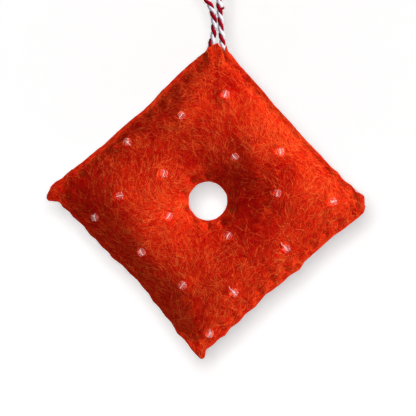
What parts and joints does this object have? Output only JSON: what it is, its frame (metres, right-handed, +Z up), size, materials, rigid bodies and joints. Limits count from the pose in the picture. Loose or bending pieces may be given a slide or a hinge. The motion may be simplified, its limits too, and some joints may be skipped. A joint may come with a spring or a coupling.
{
  "type": "felt christmas ornament",
  "caption": "Stuffed felt square with a round centre hole, whip-stitched edges and clear seed beads on the front, hung on its point from a loop of two-colour twine.",
  "frame": {"origin": "the hang point, under the top of the twine loop", "axes": "+Z up, the beaded front faces -Y, +X to the viewer's right"},
  "size_m": [0.0964, 0.0169, 0.157],
  "materials": {
    "felt": "marled wool felt, matt and slightly fuzzy",
    "sewing_thread": "matching cotton thread, matt",
    "stuffing": "white fibre fill",
    "glass_beads": "clear polished glass",
    "bead_thread": "white beading thread",
    "twine": "red and white twisted cotton twine, matt"
  },
  "bodies": {
    "hanger_loop": {"twine_loop": "twine"},
    "hanger_legs": {"twine_leg_left": "twine", "twine_leg_right": "twine"},
    "pillow": {"back_panel": "felt", "bead_thread_01": "bead_thread", "bead_thread_02": "bead_thread", "bead_thread_03": "bead_thread", "bead_thread_04": "bead_thread", "bead_thread_05": "bead_thread", "bead_thread_06": "bead_thread", "bead_thread_07": "bead_thread", "bead_thread_08": "bead_thread", "bead_thread_09": "bead_thread", "bead_thread_10": "bead_thread", "bead_thread_11": "bead_thread", "bead_thread_12": "bead_thread", "bead_thread_13": "bead_thread", "bead_thread_14": "bead_thread", "bead_thread_15": "bead_thread", "bead_thread_16": "bead_thread", "bead_thread_17": "bead_thread", "edge_stitching": "sewing_thread", "front_panel": "felt", "rim_stitching": "sewing_thread", "stuffing": "stuffing", "twine_knot": "twine", "twine_tail_left": "twine", "twine_tail_right": "twine"},
    "seed_bead_01": {"seed_bead_01": "glass_beads"},
    "seed_bead_02": {"seed_bead_02": "glass_beads"},
    "seed_bead_03": {"seed_bead_03": "glass_beads"},
    "seed_bead_04": {"seed_bead_04": "glass_beads"},
    "seed_bead_05": {"seed_bead_05": "glass_beads"},
    "seed_bead_06": {"seed_bead_06": "glass_beads"},
    "seed_bead_07": {"seed_bead_07": "glass_beads"},
    "seed_bead_08": {"seed_bead_08": "glass_beads"},
    "seed_bead_09": {"seed_bead_09": "glass_beads"},
    "seed_bead_10": {"seed_bead_10": "glass_beads"},
    "seed_bead_11": {"seed_bead_11": "glass_beads"},
    "seed_bead_12": {"seed_bead_12": "glass_beads"},
    "seed_bead_13": {"seed_bead_13": "glass_beads"},
    "seed_bead_14": {"seed_bead_14": "glass_beads"},
    "seed_bead_15": {"seed_bead_15": "glass_beads"},
    "seed_bead_16": {"seed_bead_16": "glass_beads"},
    "seed_bead_17": {"seed_bead_17": "glass_beads"}
  },
  "joints": [
    {"name": "hang_twist", "type": "hinge", "parent": "hanger_loop", "child": "hanger_legs", "pos_m": [0.0024, 0, -0.0536], "axis": [0, 0, 1], "range_deg": [-180, 180]},
    {"name": "hang_swing", "type": "hinge", "parent": "hanger_legs", "child": "pillow", "pos_m": [0.00248, 0, -0.058], "axis": [1, 0, 0], "range_deg": [-85, 85]},
    {"name": "seed_bead_01_roll", "type": "hinge", "parent": "pillow", "child": "seed_bead_01", "pos_m": [0.00474, -0.00739, -0.07624], "axis": [0.288, 0.3281, 0.8997], "continuous": true},
    {"name": "seed_bead_02_roll", "type": "hinge", "parent": "pillow", "child": "seed_bead_02", "pos_m": [-0.00831, -0.00799, -0.0826], "axis": [0.7175, 0.0482, 0.6949], "continuous": true},
    {"name": "seed_bead_03_roll", "type": "hinge", "parent": "pillow", "child": "seed_bead_03", "pos_m": [-0.02448, -0.00525, -0.09056], "axis": [0.5472, -0.6607, -0.5139], "continuous": true},
    {"name": "seed_bead_04_roll", "type": "hinge", "parent": "pillow", "child": "seed_bead_04", "pos_m": [0.02116, -0.00771, -0.09343], "axis": [-0.0823, 0.2458, 0.9658], "continuous": true},
    {"name": "seed_bead_05_roll", "type": "hinge", "parent": "pillow", "child": "seed_bead_05", "pos_m": [0.00756, -0.00697, -0.09507], "axis": [0.7219, 0.05, -0.6902], "continuous": true},
    {"name": "seed_bead_06_roll", "type": "hinge", "parent": "pillow", "child": "seed_bead_06", "pos_m": [-0.01354, -0.00709, -0.09998], "axis": [0.2399, -0.1758, 0.9548], "continuous": true},
    {"name": "seed_bead_07_roll", "type": "hinge", "parent": "pillow", "child": "seed_bead_07", "pos_m": [-0.02665, -0.00859, -0.10663], "axis": [0.9755, -0.0727, 0.2078], "continuous": true},
    {"name": "seed_bead_08_roll", "type": "hinge", "parent": "pillow", "child": "seed_bead_08", "pos_m": [0.02024, -0.00835, -0.10586], "axis": [0.2428, -0.1034, 0.9646], "continuous": true},
    {"name": "seed_bead_09_roll", "type": "hinge", "parent": "pillow", "child": "seed_bead_09", "pos_m": [-0.03426, -0.00471, -0.11309], "axis": [-0.147, -0.3968, 0.9061], "continuous": true},
    {"name": "seed_bead_10_roll", "type": "hinge", "parent": "pillow", "child": "seed_bead_10", "pos_m": [-0.01216, -0.0058, -0.11268], "axis": [0.4977, 0.4412, 0.7468], "continuous": true},
    {"name": "seed_bead_11_roll", "type": "hinge", "parent": "pillow", "child": "seed_bead_11", "pos_m": [0.03695, -0.0058, -0.10833], "axis": [0.8838, 0.4026, 0.2383], "continuous": true},
    {"name": "seed_bead_12_roll", "type": "hinge", "parent": "pillow", "child": "seed_bead_12", "pos_m": [0.00563, -0.0055, -0.11841], "axis": [0.5773, 0.202, 0.7912], "continuous": true},
    {"name": "seed_bead_13_roll", "type": "hinge", "parent": "pillow", "child": "seed_bead_13", "pos_m": [-0.02023, -0.00751, -0.12351], "axis": [0.5335, 0.08, -0.842], "continuous": true},
    {"name": "seed_bead_14_roll", "type": "hinge", "parent": "pillow", "child": "seed_bead_14", "pos_m": [-0.00803, -0.00814, -0.13332], "axis": [0.6185, -0.2741, 0.7364], "continuous": true},
    {"name": "seed_bead_15_roll", "type": "hinge", "parent": "pillow", "child": "seed_bead_15", "pos_m": [0.00743, -0.00713, -0.13549], "axis": [0.5782, 0.4595, -0.6741], "continuous": true},
    {"name": "seed_bead_16_roll", "type": "hinge", "parent": "pillow", "child": "seed_bead_16", "pos_m": [0.02292, -0.00694, -0.12236], "axis": [0.5331, 0.5109, -0.6743], "continuous": true},
    {"name": "seed_bead_17_roll", "type": "hinge", "parent": "pillow", "child": "seed_bead_17", "pos_m": [0.00011, -0.00378, -0.14784], "axis": [0.2681, -0.4296, 0.8623], "continuous": true}
  ]
}
